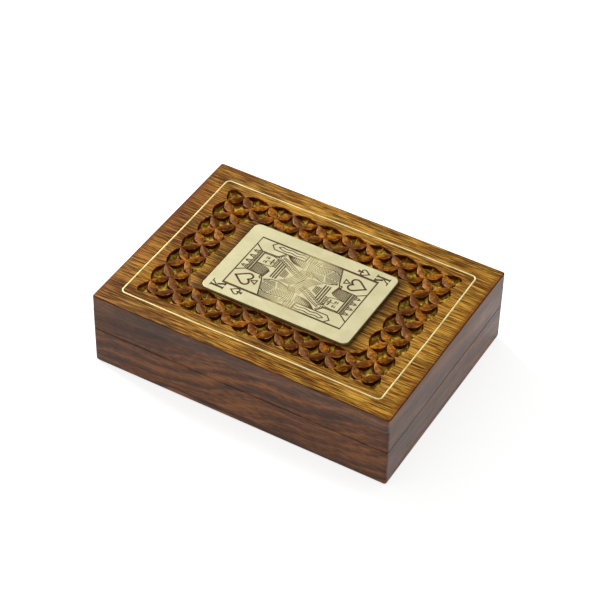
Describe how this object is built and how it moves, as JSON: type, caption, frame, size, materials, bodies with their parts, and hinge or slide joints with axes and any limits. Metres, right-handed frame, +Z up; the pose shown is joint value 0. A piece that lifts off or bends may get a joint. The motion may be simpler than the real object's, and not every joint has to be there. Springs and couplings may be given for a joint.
{
  "type": "playing card box",
  "caption": "Hinged wooden box for two decks of playing cards, its lid carved with a lattice band and inlaid with a brass line and a brass court card.",
  "frame": {"origin": "centre of the flat face that the shut box rests on", "axes": "+X along the long side to the right seen from the front, +Y towards the hinges at the back, +Z up out of the lid"},
  "size_m": [0.152, 0.1135, 0.0412],
  "materials": {
    "lid_wood": "oiled satin, carved",
    "rosewood": "waxed, low gloss",
    "brass": "pale satin, etched",
    "hinge_brass": "drawn, slightly tarnished",
    "felt": "matt wool felt"
  },
  "bodies": {
    "base": {"bottom_panel": "rosewood", "centre_divider": "rosewood", "base_front_rail": "rosewood", "base_back_rail": "rosewood", "base_left_rail": "rosewood", "base_right_rail": "rosewood", "left_felt": "felt", "right_felt": "felt", "left_hinge_pin": "hinge_brass", "left_hinge_base_leaf": "hinge_brass", "left_hinge_base_screw_1": "hinge_brass", "left_hinge_base_screw_2": "hinge_brass", "right_hinge_pin": "hinge_brass", "right_hinge_base_leaf": "hinge_brass", "right_hinge_base_screw_1": "hinge_brass", "right_hinge_base_screw_2": "hinge_brass"},
    "lid": {"lid_top_panel": "lid_wood", "lid_front_rail": "rosewood", "lid_back_rail": "rosewood", "lid_left_rail": "rosewood", "lid_right_rail": "rosewood", "brass_line": "brass", "brass_card_plate": "brass", "lid_felt": "felt", "left_hinge_lid_leaf": "hinge_brass", "left_hinge_lid_screw_1": "hinge_brass", "left_hinge_lid_screw_2": "hinge_brass", "right_hinge_lid_leaf": "hinge_brass", "right_hinge_lid_screw_1": "hinge_brass", "right_hinge_lid_screw_2": "hinge_brass"}
  },
  "joints": [
    {"name": "lid_hinge", "type": "hinge", "parent": "base", "child": "lid", "pos_m": [0, 0.0565, 0.0204], "axis": [-1, 0, 0], "range_deg": [0, 180]}
  ]
}
